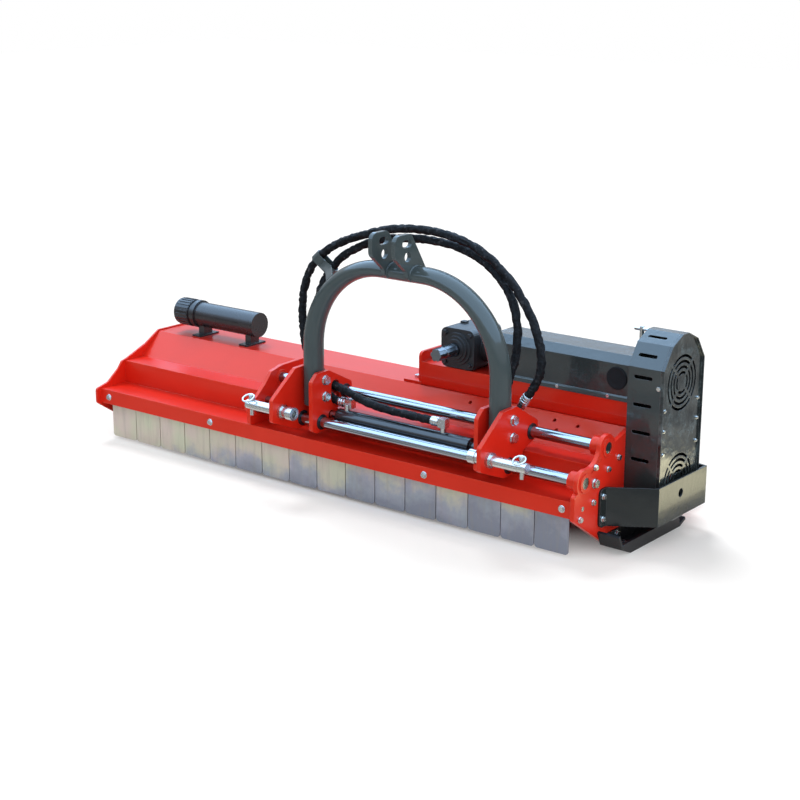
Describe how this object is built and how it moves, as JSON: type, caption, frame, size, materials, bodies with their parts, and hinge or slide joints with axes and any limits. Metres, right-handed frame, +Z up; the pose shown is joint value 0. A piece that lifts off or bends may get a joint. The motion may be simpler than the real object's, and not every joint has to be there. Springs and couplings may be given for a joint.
{
  "type": "flail_mower",
  "caption": "Side-shift flail mower: red deck with hinged front flaps, grey hitch arch on chrome slide bars, gearbox, belt guard, hammer rotor, rear roller.",
  "frame": {"origin": "on the ground under the middle of the box round the whole machine", "axes": "+X along the rotor towards the belt guard, +Y away from the tractor to the rear roller, +Z up"},
  "size_m": [1.848, 0.7298, 0.75],
  "materials": {
    "red_paint": "glossy red coat, light orange peel",
    "grey_paint": "glossy dark blue-grey coat",
    "black_paint": "satin black coat",
    "black_cast": "black painted casting, fine grain",
    "ground_steel": "ground and plated, bright",
    "zinc_steel": "bright zinc plate",
    "yellow_zinc": "yellow chromate on zinc, streaked",
    "belt_rubber": "matt black",
    "hose_rubber": "black woven sleeve over rubber",
    "black_plastic": "matt black moulding"
  },
  "bodies": {
    "deck": {"deck_shell": "red_paint", "left_side_plate": "red_paint", "right_side_plate": "red_paint", "slide_bracket": "red_paint", "slide_bars": "ground_steel", "skids": "black_paint", "bumper_guard": "grey_paint", "gearbox_stand": "red_paint", "gearbox_housing": "black_cast", "gearbox_cover": "black_cast", "shaft_guard": "grey_paint", "belt_guard_back": "grey_paint", "belt_guard_cover": "grey_paint", "drive_belts": "belt_rubber", "tension_screw": "zinc_steel", "bearing_housings": "black_paint", "roller_brackets": "red_paint", "flap_rod": "zinc_steel", "cylinder_rod": "ground_steel", "document_tube": "black_plastic", "deck_bolts": "zinc_steel"},
    "headstock": {"hitch_arch": "grey_paint", "top_link_ears": "grey_paint", "hitch_plates": "red_paint", "slide_bushes": "black_plastic", "hitch_bolts": "zinc_steel", "hitch_pins": "zinc_steel", "cylinder_barrel": "grey_paint", "hydraulic_fittings": "zinc_steel", "long_hose": "hose_rubber", "short_hose": "hose_rubber"},
    "rotor_body": {"rotor": "red_paint", "driven_pulley": "black_paint", "hammer_pins": "zinc_steel"},
    "hammers_1": {"hammers_row_1": "black_cast"},
    "hammers_2": {"hammers_row_2": "black_cast"},
    "drive_line": {"drive_shaft": "ground_steel", "drive_pulley": "black_paint"},
    "pto": {"pto_shaft": "ground_steel"},
    "roller": {"rear_roller": "black_paint"},
    "cap": {"document_cap": "black_plastic"},
    "left_linch": {"left_linch_pin": "zinc_steel"},
    "right_linch": {"right_linch_pin": "zinc_steel"},
    "flap_01_body": {"flap_01": "yellow_zinc"},
    "flap_02_body": {"flap_02": "yellow_zinc"},
    "flap_03_body": {"flap_03": "yellow_zinc"},
    "flap_04_body": {"flap_04": "yellow_zinc"},
    "flap_05_body": {"flap_05": "yellow_zinc"},
    "flap_06_body": {"flap_06": "yellow_zinc"},
    "flap_07_body": {"flap_07": "yellow_zinc"},
    "flap_08_body": {"flap_08": "yellow_zinc"},
    "flap_09_body": {"flap_09": "yellow_zinc"},
    "flap_10_body": {"flap_10": "yellow_zinc"},
    "flap_11_body": {"flap_11": "yellow_zinc"},
    "flap_12_body": {"flap_12": "yellow_zinc"},
    "flap_13_body": {"flap_13": "yellow_zinc"},
    "flap_14_body": {"flap_14": "yellow_zinc"},
    "flap_15_body": {"flap_15": "yellow_zinc"},
    "flap_16_body": {"flap_16": "yellow_zinc"}
  },
  "joints": [
    {"name": "side_shift", "type": "slide", "parent": "deck", "child": "headstock", "axis": [1, 0, 0], "range_m": [-0.125, 0.165]},
    {"name": "rotor_spin", "type": "hinge", "parent": "deck", "child": "rotor_body", "pos_m": [-0.037, 0.042, 0.15], "axis": [1, 0, 0], "continuous": true},
    {"name": "hammers_1_swing", "type": "hinge", "parent": "rotor_body", "child": "hammers_1", "pos_m": [-0.037, -0.02, 0.15], "axis": [1, 0, 0], "range_deg": [-90, 20]},
    {"name": "hammers_2_swing", "type": "hinge", "parent": "rotor_body", "child": "hammers_2", "pos_m": [-0.037, 0.104, 0.15], "axis": [1, 0, 0], "range_deg": [-20, 90]},
    {"name": "drive_shaft_spin", "type": "hinge", "parent": "deck", "child": "drive_line", "pos_m": [0.527, 0.042, 0.408], "axis": [1, 0, 0], "continuous": true},
    {"name": "pto_spin", "type": "hinge", "parent": "deck", "child": "pto", "pos_m": [0.269, -0.03, 0.408], "axis": [0, 1, 0], "continuous": true},
    {"name": "roller_spin", "type": "hinge", "parent": "deck", "child": "roller", "pos_m": [-0.037, 0.305, 0.06], "axis": [1, 0, 0], "continuous": true},
    {"name": "cap_pull", "type": "slide", "parent": "deck", "child": "cap", "axis": [-1, 0, 0], "range_m": [0, 0.09]},
    {"name": "left_linch_pull", "type": "slide", "parent": "headstock", "child": "left_linch", "axis": [0, 0, 1], "range_m": [0, 0.08]},
    {"name": "right_linch_pull", "type": "slide", "parent": "headstock", "child": "right_linch", "axis": [0, 0, 1], "range_m": [0, 0.08]},
    {"name": "flap_01_swing", "type": "hinge", "parent": "deck", "child": "flap_01_body", "pos_m": [-0.79825, -0.248, 0.136], "axis": [1, 0, 0], "range_deg": [-25, 60]},
    {"name": "flap_02_swing", "type": "hinge", "parent": "deck", "child": "flap_02_body", "pos_m": [-0.69675, -0.248, 0.136], "axis": [1, 0, 0], "range_deg": [-25, 60]},
    {"name": "flap_03_swing", "type": "hinge", "parent": "deck", "child": "flap_03_body", "pos_m": [-0.59525, -0.248, 0.136], "axis": [1, 0, 0], "range_deg": [-25, 60]},
    {"name": "flap_04_swing", "type": "hinge", "parent": "deck", "child": "flap_04_body", "pos_m": [-0.49375, -0.248, 0.136], "axis": [1, 0, 0], "range_deg": [-25, 60]},
    {"name": "flap_05_swing", "type": "hinge", "parent": "deck", "child": "flap_05_body", "pos_m": [-0.39225, -0.248, 0.136], "axis": [1, 0, 0], "range_deg": [-25, 60]},
    {"name": "flap_06_swing", "type": "hinge", "parent": "deck", "child": "flap_06_body", "pos_m": [-0.29075, -0.248, 0.136], "axis": [1, 0, 0], "range_deg": [-25, 60]},
    {"name": "flap_07_swing", "type": "hinge", "parent": "deck", "child": "flap_07_body", "pos_m": [-0.18925, -0.248, 0.136], "axis": [1, 0, 0], "range_deg": [-25, 60]},
    {"name": "flap_08_swing", "type": "hinge", "parent": "deck", "child": "flap_08_body", "pos_m": [-0.08775, -0.248, 0.136], "axis": [1, 0, 0], "range_deg": [-25, 60]},
    {"name": "flap_09_swing", "type": "hinge", "parent": "deck", "child": "flap_09_body", "pos_m": [0.01375, -0.248, 0.136], "axis": [1, 0, 0], "range_deg": [-25, 60]},
    {"name": "flap_10_swing", "type": "hinge", "parent": "deck", "child": "flap_10_body", "pos_m": [0.11525, -0.248, 0.136], "axis": [1, 0, 0], "range_deg": [-25, 60]},
    {"name": "flap_11_swing", "type": "hinge", "parent": "deck", "child": "flap_11_body", "pos_m": [0.21675, -0.248, 0.136], "axis": [1, 0, 0], "range_deg": [-25, 60]},
    {"name": "flap_12_swing", "type": "hinge", "parent": "deck", "child": "flap_12_body", "pos_m": [0.31825, -0.248, 0.136], "axis": [1, 0, 0], "range_deg": [-25, 60]},
    {"name": "flap_13_swing", "type": "hinge", "parent": "deck", "child": "flap_13_body", "pos_m": [0.41975, -0.248, 0.136], "axis": [1, 0, 0], "range_deg": [-25, 60]},
    {"name": "flap_14_swing", "type": "hinge", "parent": "deck", "child": "flap_14_body", "pos_m": [0.52125, -0.248, 0.136], "axis": [1, 0, 0], "range_deg": [-25, 60]},
    {"name": "flap_15_swing", "type": "hinge", "parent": "deck", "child": "flap_15_body", "pos_m": [0.62275, -0.248, 0.136], "axis": [1, 0, 0], "range_deg": [-25, 60]},
    {"name": "flap_16_swing", "type": "hinge", "parent": "deck", "child": "flap_16_body", "pos_m": [0.72425, -0.248, 0.136], "axis": [1, 0, 0], "range_deg": [-25, 60]}
  ],
  "couplings": [
    {"joint": "drive_shaft_spin", "follows": "rotor_spin", "ratio": 0.8},
    {"joint": "pto_spin", "follows": "rotor_spin", "ratio": 0.26667}
  ]
}
